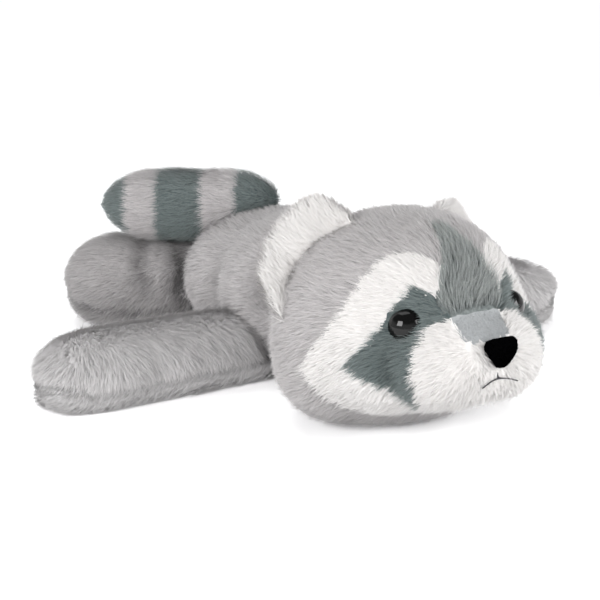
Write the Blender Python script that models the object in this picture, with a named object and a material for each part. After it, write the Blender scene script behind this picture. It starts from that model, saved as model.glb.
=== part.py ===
"""Plush raccoon with a slap band through both arms, lying on its belly.

The face looks along -Y and the arms lie along X. The origin is on the ground, under the middle of the band.
Every plush panel is a shell as thick as its backing and pile together, sewn edge to edge over soft stuffing.
Lengths are in metres, written as millimetres times MM.
"""

import math

import bmesh
import bpy
import numpy as np
from mathutils import Matrix, Vector
from mathutils.geometry import delaunay_2d_cdt

MM = 0.001

# Fits and walls
SEAM = 0.3 * MM
FIT = 0.3 * MM
WALL = 2.6 * MM
CORE_EASE = 1.2 * MM
CORE_SCALE = 0.988
OVERCUT = 3 * MM
FAR = 160 * MM
MERGE = MM / 1000

# Slap band and the cloth sleeve that holds it
BAND_LENGTH = 172 * MM
BAND_WIDTH = 21 * MM
BAND_THICK = 0.4 * MM
BAND_CROWN = 1.4 * MM
BAND_CORNER = 6 * MM
BAND_HEIGHT = 8.6 * MM
SLEEVE_CLOTH = 0.6 * MM
SLEEVE_HEM = 3 * MM

# Arms
ARM_SPAN = 220 * MM
ARM_DEPTH = 31 * MM
ARM_HEIGHT = 24 * MM
ARM_TIP = 22 * MM
ARM_ROOT_OUT = 13 * MM
ARM_PAW = 0.12
ARM_PRESS = 1.2 * MM
ARM_SEAM_TURN = math.radians(-6)

# Torso
TORSO_WIDTH = 66 * MM
CHEST_LENGTH = 78 * MM
CHEST_HEIGHT = 58 * MM
CHEST_FORWARD = 1 * MM
RUMP_LENGTH = 60 * MM
RUMP_HEIGHT = 52 * MM
RUMP_BACK = 35 * MM
TORSO_BLEND = 1.5 * MM
TORSO_PRESS = 2.5 * MM
BELLY_SEAM = 15 * MM

# Rear legs, splayed out sideways
LEG_HIP_OUT = 12 * MM
LEG_HIP_BACK = 56 * MM
LEG_SPLAY = math.radians(30)
LEG_LENGTH = 61 * MM
LEG_WIDTH = 37 * MM
LEG_HEIGHT = 36 * MM
LEG_TIP = 22 * MM
LEG_TAPER = 15 * MM
LEG_PRESS = 1.0 * MM
LEG_SEAM_TURN = math.radians(-22)

# Tail, lying over the right rear leg
TAIL_ROOT_OUT = 9 * MM
TAIL_ROOT_BACK = 41 * MM
TAIL_TURN = math.radians(31)
TAIL_LENGTH = 70 * MM
TAIL_THICK = 26 * MM
TAIL_LIFT = 1 * MM
TAIL_TIP = 24 * MM
TAIL_TAPER = 22 * MM
TAIL_BAND_ENDS = (0.0, 0.13, 0.30, 0.55, 0.74, 1.0)

# Limb shape: the tips and the section, 1 for an ellipse and less for a squarer one
TIP_ROUND = 2.2
SECTION_ROUND = 0.85

# Head, as soft lobes: centre behind the middle of the skull and above the ground, and half sizes, in millimetres
HEAD_FORWARD = 58 * MM
SKULL = ((0, 0, 34.5), (42, 37, 35.2))
BROW = ((0, -19, 46.5), (26, 24, 24))
BRIDGE = ((0, -40, 40), (9, 17, 6))
CHIN = ((0, -49, 25), (8, 7.5, 4.5))
JOWL = ((25, -2, 22.5), (20, 20, 19))
CHEEK = ((21, -28, 29), (14, 15, 15))
PUFF = ((11.4, -40, 31), (13.2, 16.5, 13))
HEAD_HEART = (0, -6, 33)
HEAD_BLEND = 2.5 * MM
HEAD_REACH = 80 * MM

# Head seams: planes behind the middle of the skull or above the ground, and edges in the front view as x and z in millimetres for the side at +X
HEAD_BACK_SEAM = 14 * MM
JAW_SEAM = 13.5 * MM
FACE_BACK = 8 * MM
FACE_TILT = 0.41
BLAZE_EDGE = ((1.5, 71), (4.5, 67), (7.5, 62), (10.3, 56), (10.8, 51), (8.5, 47), (3, 45))
BRIDGE_EDGE = ((3, 48.6), (8.5, 47), (7.8, 42.5), (6.4, 36), (2, 33.6))
MASK_EDGE = (
    (6, 49), (13, 54), (17, 56.5), (21, 51.5), (25, 46), (29.5, 40.5), (33.5, 35.5), (35.5, 29.5),
    (33, 27.5), (28, 26), (23, 22), (17, 17.5), (14, 30), (12, 40),
)
WHITE_EDGE = (
    (2, 58), (7, 62), (12, 64.5), (17, 64), (22, 60.5), (27, 55), (32, 48.5), (37, 40.5), (41, 32),
    (43, 26), (41, 20.5), (36, 16), (29, 13.5), (20, 12.5), (10, 12.5), (3, 13),
)
MUZZLE_EDGE = ((3, 48), (9, 47), (17, 44), (23, 38), (24.8, 31), (22, 23), (17, 16.5), (9, 14), (3, 13.5))
CHIN_EDGE = ((2, 29.4), (5.4, 28.6), (8, 26.2), (6, 22), (2, 19.6))
PATTERN_MERGE = MM / 100

# Eyes, nose and mouth
EYE_SPACING = 42 * MM
EYE_HEIGHT = 44.5 * MM
EYE_SIZE = 12 * MM
EYE_DOME = 4.6 * MM
EYE_SINK = 2.4 * MM
EYE_TURN = math.radians(27)
DOME_RIM = 0.8 * MM
SHANK_SIZE = 3.4 * MM
SHANK_TAIL = 4 * MM
WASHER_SIZE = 9 * MM
WASHER_THICK = 1.2 * MM
EYE_WASHER_BACK = 5.4 * MM
NOSE_WASHER_BACK = 8.6 * MM
NOSE_WIDTH = 11 * MM
NOSE_TALL = 10.4 * MM
NOSE_DOME = 4 * MM
NOSE_HEIGHT = 38.4 * MM
NOSE_SINK = 0.6 * MM
NOSE_TAPER = 0.34
THREAD = 0.9 * MM
MOUTH_TOP = 33 * MM
MOUTH_SPLIT = 29.6 * MM
MOUTH_REACH = 7 * MM
MOUTH_DROP = 1.8 * MM
MOUTH_ARC_POINTS = 9
MOUTH_LINE_POINTS = 4

# Ears
EAR_OUT = 30.5 * MM
EAR_BACK = 1 * MM
EAR_HEIGHT = 54 * MM
EAR_BASE_TILT = math.radians(50)
EAR_WIDTH = 41 * MM
EAR_REACH = 18 * MM
RIGHT_EAR_SPLAY = math.radians(30)
RIGHT_EAR_LEAN = math.radians(28)
LEFT_EAR_SPLAY = math.radians(78)
LEFT_EAR_LEAN = math.radians(34)
EAR_SUNK = 7 * MM
EAR_CURL = 6 * MM
EAR_CLOTH = 1.8 * MM
EAR_ROUND = 2.6
EAR_CUP = 0.35

# Facets around and along
HEAD_FACETS = (26, 19)
TORSO_FACETS = (20, 16)
LIMB_FACETS = (11, 9)
LIMB_CORE_FACETS = (14, 18)
TAIL_CORE_FACETS = (16, 14)
TAIL_BAND_FACETS = (5, 14)
EAR_FACETS = (12, 4)
TURNED_FACETS = 14
DOME_STEPS = 4
BAND_FACETS = 7
HALVINGS = 30
SHARP_EDGE = math.radians(50)

COLOURS = {
    "light_grey": (0.49, 0.47, 0.47),
    "dark_grey": (0.145, 0.175, 0.175),
    "white": (0.88, 0.86, 0.83),
    "bridge_grey": (0.37, 0.42, 0.44),
    "black": (0.008, 0.008, 0.009),
    "fibre": (0.80, 0.80, 0.78),
    "lining": (0.70, 0.70, 0.72),
    "steel": (0.56, 0.57, 0.58),
    "washer": (0.75, 0.75, 0.72),
    "flock": (0.010, 0.010, 0.011),
    "thread": (0.03, 0.03, 0.035),
}
CLOTH_FINISH = (0.95, 0.0)
FINISHES = {"black": (0.08, 0.0), "steel": (0.3, 1.0), "washer": (0.45, 0.0)}


# Scene and mesh helpers


def clear_scene():
    for obj in list(bpy.data.objects):
        bpy.data.objects.remove(obj, do_unlink=True)


def material(colour):
    made = bpy.data.materials.get("mat_" + colour)
    if made is None:
        made = bpy.data.materials.new("mat_" + colour)
        made.use_nodes = True
        roughness, metallic = FINISHES.get(colour, CLOTH_FINISH)
        shader = made.node_tree.nodes["Principled BSDF"]
        shader.inputs["Base Color"].default_value = (*COLOURS[colour], 1.0)
        shader.inputs["Roughness"].default_value = roughness
        shader.inputs["Metallic"].default_value = metallic
    return made


def add_object(name, mesh, colour=None):
    """Links a mesh as an object. One without a colour is a cutter, hidden from renders."""
    obj = bpy.data.objects.new(name, mesh)
    bpy.context.scene.collection.objects.link(obj)
    if colour:
        mesh.materials.append(material(colour))
        mesh.shade_smooth()
        mesh.set_sharp_from_angle(angle=SHARP_EDGE)
    else:
        obj.hide_render = True
        obj.display_type = "WIRE"
    return obj


def mesh_from(bm, name):
    """Merges what meets, closes open ends, splits bent faces and turns them all outwards."""
    bmesh.ops.remove_doubles(bm, verts=bm.verts, dist=MERGE)
    loose = [edge for edge in bm.edges if not edge.link_faces]
    bmesh.ops.delete(bm, geom=loose, context="EDGES")
    open_edges = [edge for edge in bm.edges if len(edge.link_faces) == 1]
    if open_edges:
        bmesh.ops.holes_fill(bm, edges=open_edges)
    bmesh.ops.triangulate(bm, faces=bm.faces)
    bmesh.ops.recalc_face_normals(bm, faces=bm.faces)
    mesh = bpy.data.meshes.new(name)
    bm.to_mesh(mesh)
    bm.free()
    return mesh


def skin(bm, rings, around=True):
    """Faces between rings of points with the same count."""
    for near, far in zip(rings, rings[1:]):
        count = len(near) if around else len(near) - 1
        for index in range(count):
            after = (index + 1) % len(near)
            bm.faces.new((near[index], near[after], far[after], far[index]))


def cut(obj, operation, tools):
    """Adds one exact Boolean for each tool."""
    for tool in tools:
        step = obj.modifiers.new(f"{operation.lower()}_{tool.name}", "BOOLEAN")
        step.operation = operation
        step.solver = "EXACT"
        step.object = tool


def settled_mesh(obj):
    """The mesh of an object with its modifiers worked out."""
    bpy.context.view_layer.update()
    graph = bpy.context.evaluated_depsgraph_get()
    return bpy.data.meshes.new_from_object(obj.evaluated_get(graph))


def box(name, low, high):
    bm = bmesh.new()
    bmesh.ops.create_cube(bm, size=1)
    low, high = Vector(low), Vector(high)
    bmesh.ops.scale(bm, vec=high - low, verts=bm.verts)
    bmesh.ops.translate(bm, vec=(low + high) / 2, verts=bm.verts)
    return add_object(name, mesh_from(bm, name))


def scaled(values):
    return tuple(value * MM for value in values)


def in_head(place):
    """A place in millimetres from the middle of the skull, in metres from the origin."""
    x, y, z = scaled(place)
    return x, y - HEAD_FORWARD, z


# Lobed forms, for the head and the torso


class LobedForm:
    """A soft body of blended ellipsoids, drawn outwards from its heart and pressed flat where it rests."""

    def __init__(self, lobes, heart, blend):
        self.lobes = [(np.array(centre, float), np.array(half, float)) for centre, half in lobes]
        self.heart = np.array(heart, float)
        self.blend = blend

    def depth(self, points):
        """Distance to the surface, negative inside."""
        total = np.zeros(points.shape[:-1])
        for centre, half in self.lobes:
            level = np.linalg.norm((points - centre) / half, axis=-1)
            slope = np.linalg.norm((points - centre) / half**2, axis=-1)
            distance = level * (level - 1) / np.maximum(slope, 1.0)
            total += np.exp(-np.minimum(distance, HEAD_REACH) / self.blend)
        return -self.blend * np.log(total)

    def march(self, start, ways, inset):
        """Where each way from the start leaves the form, by halving."""
        near = np.zeros(ways.shape[:-1])
        far = np.full(ways.shape[:-1], HEAD_REACH)
        for _ in range(HALVINGS):
            middle = (near + far) / 2
            inside = self.depth(start + ways * middle[..., None]) < -inset
            near = np.where(inside, middle, near)
            far = np.where(inside, far, middle)
        return start + ways * near[..., None]

    def mesh(self, name, facets, inset=0.0):
        """Closed mesh with its poles along Y."""
        around, along = facets
        turn = (np.arange(around) + 0.5) * 2 * math.pi / around
        bm = bmesh.new()
        rings = []
        for polar in np.linspace(0, math.pi, along + 1):
            across = math.sin(polar)
            ways = np.stack(
                [across * np.cos(turn), np.full(around, -math.cos(polar)), across * np.sin(turn)], axis=-1
            )
            ring = self.march(self.heart, ways, inset)
            rings.append([bm.verts.new((x, y, max(z, inset))) for x, y, z in ring])
        skin(bm, rings)
        return mesh_from(bm, name)

    def core(self, name, facets):
        """The stuffing: the space inside the walls, drawn in a little towards the heart."""
        mesh = self.mesh(name, facets, WALL)
        heart = Vector(self.heart)
        for vert in mesh.vertices:
            vert.co = heart + (vert.co - heart) * CORE_SCALE
        return mesh

    def front(self, x, z):
        """The y of the surface at x and z, seen from the front."""
        start = np.array([x, self.heart[1], z])
        return float(self.march(start, np.array([0.0, -1.0, 0.0]), 0.0)[1])


def head_form():
    lobes = [(in_head(centre), scaled(half)) for centre, half in (SKULL, BROW, BRIDGE, CHIN)]
    for (out, back, height), half in (JOWL, CHEEK, PUFF):
        for side in (-1, 1):
            lobes.append((in_head((side * out, back, height)), scaled(half)))
    return LobedForm(lobes, in_head(HEAD_HEART), HEAD_BLEND)


def torso_form():
    lobes = []
    for back, length, height in (
        (-CHEST_FORWARD, CHEST_LENGTH, CHEST_HEIGHT),
        (RUMP_BACK, RUMP_LENGTH, RUMP_HEIGHT),
    ):
        centre = (0.0, back, height / 2 - TORSO_PRESS)
        lobes.append((centre, (TORSO_WIDTH / 2, length / 2, height / 2)))
    heart = (0.0, (RUMP_BACK - CHEST_FORWARD) / 2, CHEST_HEIGHT / 2 - TORSO_PRESS)
    return LobedForm(lobes, heart, TORSO_BLEND)


# Limbs, for the arms, legs and tail


class Limb:
    """A stuffed tube with a rounded tip, pressed flat where it rests."""

    def __init__(self, tip, way, length, width, height, tip_length, taper=0.0, paw=0.0):
        self.tip = Vector(tip)
        self.way = Vector(way).normalized()
        self.side = Vector((0, 0, 1)).cross(self.way)
        self.length = length
        self.half_width = width / 2
        self.half_height = height / 2
        self.tip_length = tip_length
        self.taper = taper
        self.paw = paw

    def fullness(self, run, inset):
        """Share of the full girth at a distance from the tip."""
        share = 1.0 + self.paw * (1 - run / self.length)
        for ahead, span in ((run, self.tip_length), (self.length - run, self.taper)):
            if ahead - inset < span - inset:
                share *= math.sqrt(max(0.0, 1 - (1 - max(ahead - inset, 0) / (span - inset)) ** TIP_ROUND))
        return share

    def point(self, along, turn, inset=0.0, lift=0.0):
        end = inset if self.taper else 0.0
        run = inset + along * (self.length - inset - end)
        share = self.fullness(run, inset)
        across, rise = (math.copysign(abs(part) ** SECTION_ROUND, part) for part in (math.cos(turn), math.sin(turn)))
        out = (self.half_width - inset) * share * across
        up = (self.half_height - inset) * share * rise + lift
        place = self.tip + self.way * run + self.side * out
        return Vector((place.x, place.y, max(place.z + up, inset)))

    def panel(self, name, along, turns, facets, lift=0.0):
        """A piece of the skin between two shares of the length and two turns, as a closed shell."""
        rows, columns = facets
        whole = turns[1] - turns[0] > 2 * math.pi - SEAM
        count = columns if whole else columns + 1
        bm = bmesh.new()
        outer, inner = [], []
        for row in range(rows + 1):
            share = row / rows
            if self.taper and along[1] - along[0] == 1:
                share = (1 - math.cos(math.pi * share)) / 2
            elif along[0] == 0:
                share = 1 - math.cos(math.pi / 2 * share)
            share = along[0] + (along[1] - along[0]) * share
            for depth, grid in ((0.0, outer), (WALL, inner)):
                angles = [turns[0] + (turns[1] - turns[0]) * column / columns for column in range(count)]
                grid.append([bm.verts.new(self.point(share, angle, depth, lift)) for angle in angles])
        skin(bm, outer, whole)
        skin(bm, inner, whole)
        for row in (0, -1):
            skin(bm, [outer[row], inner[row]], whole)
        if not whole:
            for column in (0, -1):
                skin(bm, [[ring[column] for ring in outer], [ring[column] for ring in inner]], False)
        return mesh_from(bm, name)

    def solid(self, name, facets, inset):
        rows, columns = facets
        bm = bmesh.new()
        rings = []
        for row in range(rows + 1):
            share = (1 - math.cos(math.pi * row / rows)) / 2
            angles = [2 * math.pi * column / columns for column in range(columns)]
            rings.append([bm.verts.new(self.point(share, angle, inset)) for angle in angles])
        skin(bm, rings)
        return mesh_from(bm, name)


def arm_limb(side):
    length = ARM_SPAN / 2 - ARM_ROOT_OUT
    tip = (side * ARM_SPAN / 2, 0.0, ARM_HEIGHT / 2 - ARM_PRESS)
    return Limb(tip, (-side, 0, 0), length, ARM_DEPTH, ARM_HEIGHT, ARM_TIP, paw=ARM_PAW)


def leg_limb(side):
    outward = Vector((side * math.cos(LEG_SPLAY), math.sin(LEG_SPLAY), 0.0))
    hip = Vector((side * LEG_HIP_OUT, LEG_HIP_BACK, LEG_HEIGHT / 2 - LEG_PRESS))
    foot = hip + outward * LEG_LENGTH
    return Limb(foot, -outward, LEG_LENGTH, LEG_WIDTH, LEG_HEIGHT, LEG_TIP, LEG_TAPER)


def tail_limb():
    outward = Vector((-math.cos(TAIL_TURN), math.sin(TAIL_TURN), 0.0))
    height = LEG_HEIGHT - LEG_PRESS + SEAM / 2 + TAIL_LIFT + TAIL_THICK / 2
    root = Vector((TAIL_ROOT_OUT, TAIL_ROOT_BACK, height))
    tip = root + outward * TAIL_LENGTH
    return Limb(tip, -outward, TAIL_LENGTH, TAIL_THICK, TAIL_THICK, TAIL_TIP, TAIL_TAPER)


# Slap band


def plate(name, length, width, thick, crown, corner, shift=0.0):
    """A long flat plate with rounded corners and a crowned section, its low face at the band's height."""
    bm = bmesh.new()
    ends = [math.sin(math.pi / 2 * step / DOME_STEPS) for step in range(DOME_STEPS + 1)]
    stations = [-(length / 2 - corner + corner * end) for end in reversed(ends)]
    stations += [-station for station in reversed(stations)]
    shares = np.linspace(-1, 1, BAND_FACETS)
    loops = []
    for station in stations:
        ahead = max(0.0, abs(station) - (length / 2 - corner))
        half = width / 2 - corner + math.sqrt(max(0.0, corner**2 - ahead**2))
        rise = [crown * (1 - (share * half * 2 / width) ** 2) for share in shares]
        low = [(station + shift, share * half, up - thick / 2) for share, up in zip(shares, rise)]
        high = [(x, y, z + thick) for x, y, z in reversed(low)]
        loops.append([bm.verts.new((x, y, BAND_HEIGHT + z)) for x, y, z in low + high])
    skin(bm, loops)
    return mesh_from(bm, name)


def sleeve_solid(name, grow):
    side_room = 2 * (FIT + SLEEVE_CLOTH + grow)
    length = BAND_LENGTH + side_room + 2 * SLEEVE_HEM
    return add_object(
        name, plate(name, length, BAND_WIDTH + side_room, BAND_THICK + side_room, BAND_CROWN, BAND_CORNER + SLEEVE_CLOTH)
    )


def make_band():
    add_object(
        "slap_band", plate("slap_band", BAND_LENGTH, BAND_WIDTH, BAND_THICK, BAND_CROWN, BAND_CORNER), "steel"
    )
    room = 2 * FIT
    slot = plate(
        "band_slot", BAND_LENGTH + room + SLEEVE_HEM + 2 * OVERCUT, BAND_WIDTH + room, BAND_THICK + room,
        BAND_CROWN, BAND_CORNER, SLEEVE_HEM / 2 + OVERCUT,
    )
    sleeve = sleeve_solid("band_sleeve", 0.0)
    sleeve.hide_render = False
    sleeve.display_type = "TEXTURED"
    sleeve.data.materials.append(material("lining"))
    cut(sleeve, "DIFFERENCE", [add_object("band_slot", slot)])
    return sleeve_solid("sleeve_channel", FIT)


# Turned pieces


def turned(name, profile, place, way, outline=None):
    """A profile of radius and height turned about an axis, or swept round another outline."""
    bm = bmesh.new()
    outline = outline or (lambda turn: (math.cos(turn), math.sin(turn)))
    rings = []
    for radius, height in profile:
        angles = [2 * math.pi * (step + 0.5) / TURNED_FACETS for step in range(TURNED_FACETS)]
        spots = [outline(angle) for angle in angles]
        rings.append([bm.verts.new((radius * x, radius * y, height)) for x, y in spots])
    skin(bm, rings)
    turn = Vector((0, -1, 0)).rotation_difference(Vector(way)).to_matrix() @ Matrix.Rotation(math.pi / 2, 3, "X")
    bmesh.ops.transform(bm, matrix=Matrix.Translation(Vector(place)) @ turn.to_4x4(), verts=bm.verts)
    return mesh_from(bm, name)


def dome(radius, height, washer_back, grow=0.0):
    """Profile of a domed head on a shank, from its crown to the shank's end."""
    shank = SHANK_SIZE / 2 + grow
    foot = -washer_back - SHANK_TAIL - grow
    angles = [math.pi / 2 * step / DOME_STEPS for step in range(DOME_STEPS + 1)]
    points = [((radius + grow) * math.sin(angle), (height + grow) * math.cos(angle)) for angle in angles]
    points += [(radius + grow, -DOME_RIM - grow), (shank, -DOME_RIM - grow), (shank, foot)]
    return points + [(0.0, foot)]


def washer(top):
    bore, radius = SHANK_SIZE / 2 + FIT, WASHER_SIZE / 2
    foot = -top - WASHER_THICK
    return [(bore, -top), (radius, -top), (radius, foot), (bore, foot), (bore, -top)]


def with_washer(profile, top):
    """A domed profile kept as wide as the washer as far as the washer's back."""
    *head, shank, shank_end, middle = profile
    radius = WASHER_SIZE / 2 + FIT
    foot = -top - WASHER_THICK - FIT
    return head + [(radius, shank[1]), (radius, foot), (shank[0], foot), shank_end, middle]


def make_button(name, colour, sizes, place, way, outline=None):
    """A domed piece on a shank with its washer. Returns the rooms that the face and the stuffing leave for it."""
    top = sizes[-1]
    add_object(name, turned(name, dome(*sizes), place, way, outline), colour)
    add_object(name + "_washer", turned("washer", washer(top), place, way), "washer")
    room = dome(*sizes, FIT)
    return (
        add_object(name + "_room", turned("room", room, place, way, outline)),
        add_object(name + "_seat", turned("seat", with_washer(room, top), place, way)),
    )


def make_eye(side, label, head):
    out = side * EYE_SPACING / 2
    way = Vector((side * math.sin(EYE_TURN), -math.cos(EYE_TURN), 0.0))
    place = Vector((out, head.front(out, EYE_HEIGHT), EYE_HEIGHT)) - way * EYE_SINK
    return make_button("eye_" + label, "black", (EYE_SIZE / 2, EYE_DOME, EYE_WASHER_BACK), place, way)


def nose_outline(turn):
    """Broad at the top and narrow at the lip, as a share of the half width."""
    across = math.cos(turn) * (1 + NOSE_TAPER * math.sin(turn))
    return across, math.sin(turn) * NOSE_TALL / NOSE_WIDTH


def make_nose(head):
    way = Vector((0, -1, 0))
    place = Vector((0, head.front(0, NOSE_HEIGHT), NOSE_HEIGHT)) - way * NOSE_SINK
    return make_button("nose", "flock", (NOSE_WIDTH / 2, NOSE_DOME, NOSE_WASHER_BACK), place, way, nose_outline)


def thread(name, points):
    """A round thread through the points, as a closed tube."""
    curve = bpy.data.curves.new(name, "CURVE")
    curve.dimensions = "3D"
    curve.bevel_depth = THREAD / 2
    curve.bevel_resolution = 1
    curve.use_fill_caps = True
    spline = curve.splines.new("POLY")
    spline.points.add(len(points) - 1)
    for spot, place in zip(spline.points, points):
        spot.co = (*place, 1.0)
    guide = add_object(name + "_guide", curve)
    mesh = settled_mesh(guide)
    bm = bmesh.new()
    bm.from_mesh(mesh)
    return mesh_from(bm, name)


def make_mouth(head):
    """The stitched mouth: a short line down from the nose and an arc to each side."""
    proud = THREAD / 2 + FIT

    def on_face(x, z):
        return (x, head.front(x, z) - proud, z)

    shares = np.linspace(-1, 1, MOUTH_ARC_POINTS)
    arc = [on_face(MOUTH_REACH * share, MOUTH_SPLIT - MOUTH_DROP * share**2) for share in shares]
    line = [on_face(0, z) for z in np.linspace(MOUTH_SPLIT, MOUTH_TOP, MOUTH_LINE_POINTS)]
    mouth = add_object("mouth_thread", thread("mouth_arc", arc), "thread")
    cut(mouth, "UNION", [add_object("mouth_line", thread("mouth_line", line))])


# Ears


def ear_mesh(name, side, splay, lean, front):
    """A cupped flap whose sides curl forwards, from a front face back through its thickness."""
    across = Vector((side * math.cos(EAR_BASE_TILT), 0, -math.sin(EAR_BASE_TILT)))
    outward = Vector((side * math.sin(splay), 0, math.cos(splay)))
    reach = outward * math.cos(lean) + Vector((0, math.sin(lean), 0))
    backward = reach.cross(across).normalized() * side
    root = Vector((side * EAR_OUT, EAR_BACK - HEAD_FORWARD, EAR_HEIGHT)) - reach * EAR_SUNK
    columns, rows = EAR_FACETS
    bm = bmesh.new()
    layers = []
    for depth in (front, front + EAR_CLOTH):
        grid = []
        for row in range(rows + 1):
            ring = []
            for column in range(columns + 1):
                share = 2 * column / columns - 1
                rim = max(0.0, 1 - abs(share) ** EAR_ROUND) ** (1 / EAR_ROUND)
                height = EAR_SUNK + EAR_REACH * rim
                cup = EAR_CURL * (1 - share**2) * (row / rows + EAR_CUP)
                place = root + across * (share * EAR_WIDTH / 2) + reach * (height * row / rows)
                ring.append(bm.verts.new(place + backward * (cup + depth)))
            grid.append(ring)
        layers.append(grid)
    outer, inner = layers
    skin(bm, outer, False)
    skin(bm, inner, False)
    for row in (0, -1):
        skin(bm, [outer[row], inner[row]], False)
    for column in (0, -1):
        skin(bm, [[ring[column] for ring in outer], [ring[column] for ring in inner]], False)
    return mesh_from(bm, name)


def make_ear(side, label, splay, lean, head_room):
    for name, front, colour in (("ear_lining_", 0.0, "white"), ("ear_back_", EAR_CLOTH + FIT, "light_grey")):
        ear = add_object(name + label, ear_mesh("ear", side, splay, lean, front), colour)
        cut(ear, "DIFFERENCE", [head_room])


# Head


def one_side(edge):
    """The outline of an edge in metres."""
    return [np.array(scaled(point)) for point in edge]


def both_sides(edge):
    """The whole outline of an edge given for one side, from the top of the middle line down to its foot."""
    return one_side(list(edge) + [(-x, z) for x, z in reversed(edge)])


def leftwards(outline):
    """The outline in the order that keeps its inside to the left."""
    area = sum(a[0] * b[1] - b[0] * a[1] for a, b in zip(outline, outline[1:] + outline[:1]))
    return outline if area > 0 else outline[::-1]


def grown(outline):
    """The outline moved out by the width of a seam."""
    outline = leftwards(outline)
    moved = []
    for index, point in enumerate(outline):
        along = outline[(index + 1) % len(outline)] - outline[index - 1]
        out = np.array([along[1], -along[0]]) / np.linalg.norm(along)
        moved.append(point + out * SEAM)
    return moved


def pattern(outlines, side, wanted):
    """Triangles of the front view on one side, or on both, whose covering outlines are the wanted ones."""
    corners, loops = [], []
    for outline in outlines:
        loops.append(list(range(len(corners), len(corners) + len(outline))))
        corners += [Vector(point) for point in leftwards(outline)]
    points, _, triangles, _, _, covers = delaunay_2d_cdt(corners, [], loops, 1, PATTERN_MERGE)
    kept = []
    for triangle, cover in zip(triangles, covers):
        middle = sum(points[corner].x for corner in triangle)
        if wanted(set(cover)) and middle * side >= 0:
            kept.append([points[corner] for corner in triangle])
    return kept


def prism(name, triangles, back):
    """The largest joined patch of a pattern, carried from before the face to a tilted plane inside the head."""
    bm = bmesh.new()
    for triangle in triangles:
        bm.faces.new([bm.verts.new((point.x, -FAR, point.y)) for point in triangle])
    bmesh.ops.remove_doubles(bm, verts=bm.verts, dist=PATTERN_MERGE)
    patches, seen = [], set()
    for first in bm.faces:
        patch, waiting = [], [first]
        while waiting:
            face = waiting.pop()
            if face in seen:
                continue
            seen.add(face)
            patch.append(face)
            waiting += [near for edge in face.edges for near in edge.link_faces]
        patches.append(patch)
    largest = max(patches, key=lambda patch: sum(face.calc_area() for face in patch))
    spare = [face for patch in patches if patch is not largest for face in patch]
    bmesh.ops.delete(bm, geom=spare, context="FACES")
    carried = bmesh.ops.extrude_face_region(bm, geom=list(bm.faces), use_keep_orig=True)
    for item in carried["geom"]:
        if isinstance(item, bmesh.types.BMVert):
            item.co.y = back - FACE_TILT * item.co.z
    return add_object(name, mesh_from(bm, name))


def face_areas():
    """Name, colour, outline and side of each face panel, in the order that they are cut."""
    sides = ((-1, "right"), (1, "left"))
    areas = [
        ("nose_bridge", "bridge_grey", both_sides(BRIDGE_EDGE), 0),
        ("chin", "white", both_sides(CHIN_EDGE), 0),
    ]
    areas += [("muzzle_" + label, "white", both_sides(MUZZLE_EDGE), side) for side, label in sides]
    areas.append(("blaze", "dark_grey", both_sides(BLAZE_EDGE), 0))
    mask = one_side(MASK_EDGE)
    areas += [("mask_" + label, "dark_grey", [point * (side, 1) for point in mask], side) for side, label in sides]
    areas += [("cheek_" + label, "white", both_sides(WHITE_EDGE), side) for side, label in sides]
    return areas


def make_head(head, rooms):
    """The head's panels: the face from the front, then the two sides, the back and the jaw from what is left."""
    half = SEAM / 2
    hollow = add_object("head_hollow", head.mesh("head_hollow", HEAD_FACETS, WALL))
    shell = add_object("head_shell", head.mesh("head_shell", HEAD_FACETS))
    cut(shell, "DIFFERENCE", [hollow, *rooms])
    shell_mesh = settled_mesh(shell)
    middle_seam = [np.array(point) for point in ((-half, -FAR), (half, -FAR), (half, FAR), (-half, FAR))]
    taken = []
    for name, colour, outline, side in face_areas():
        earlier = [grown(other) for other, other_side in taken if other_side in (0, side)]
        others = earlier + ([middle_seam] if side else [])
        area = pattern([outline, *others], side, lambda cover: cover == {0})
        panel = add_object(name, shell_mesh.copy(), colour)
        cut(panel, "INTERSECT", [prism(name + "_area", area, FACE_BACK - HEAD_FORWARD)])
        taken.append((outline, side))
    whole_face = pattern([grown(outline) for outline, _ in taken], 0, bool)
    face_room = prism("face_room", whole_face, FACE_BACK - HEAD_FORWARD + SEAM)
    back_seam = HEAD_BACK_SEAM - HEAD_FORWARD
    rest = (
        ("head_side_right", (-FAR, -FAR, JAW_SEAM + half), (-half, back_seam - half, FAR)),
        ("head_side_left", (half, -FAR, JAW_SEAM + half), (FAR, back_seam - half, FAR)),
        ("jaw", (-FAR, -FAR, -FAR), (FAR, back_seam - half, JAW_SEAM - half)),
        ("head_back", (-FAR, back_seam + half, -FAR), (FAR, FAR, FAR)),
    )
    for name, low, high in rest:
        panel = add_object(name, shell_mesh.copy(), "light_grey")
        cut(panel, "INTERSECT", [box(name + "_area", low, high)])
        if name != "head_back":
            cut(panel, "DIFFERENCE", [face_room])


def make_head_core(head, rooms):
    core = add_object("head_stuffing", head.core("head_stuffing", HEAD_FACETS), "fibre")
    cut(core, "DIFFERENCE", rooms)


# Body


def make_torso(torso, head_room, channel):
    half = SEAM / 2
    hollow = add_object("torso_hollow", torso.mesh("torso_hollow", TORSO_FACETS, WALL))
    shell = add_object("torso_shell", torso.mesh("torso_shell", TORSO_FACETS))
    cut(shell, "DIFFERENCE", [hollow, head_room, channel])
    shell_mesh = settled_mesh(shell)
    for name, low, high in (
        ("torso_back", (-FAR, -FAR, BELLY_SEAM + half), (FAR, FAR, FAR)),
        ("torso_belly", (-FAR, -FAR, -FAR), (FAR, FAR, BELLY_SEAM - half)),
    ):
        panel = add_object(name, shell_mesh.copy(), "light_grey")
        cut(panel, "INTERSECT", [box(name + "_area", low, high)])
    core = add_object("torso_stuffing", torso.core("torso_stuffing", TORSO_FACETS), "fibre")
    cut(core, "DIFFERENCE", [head_room, channel])


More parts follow.
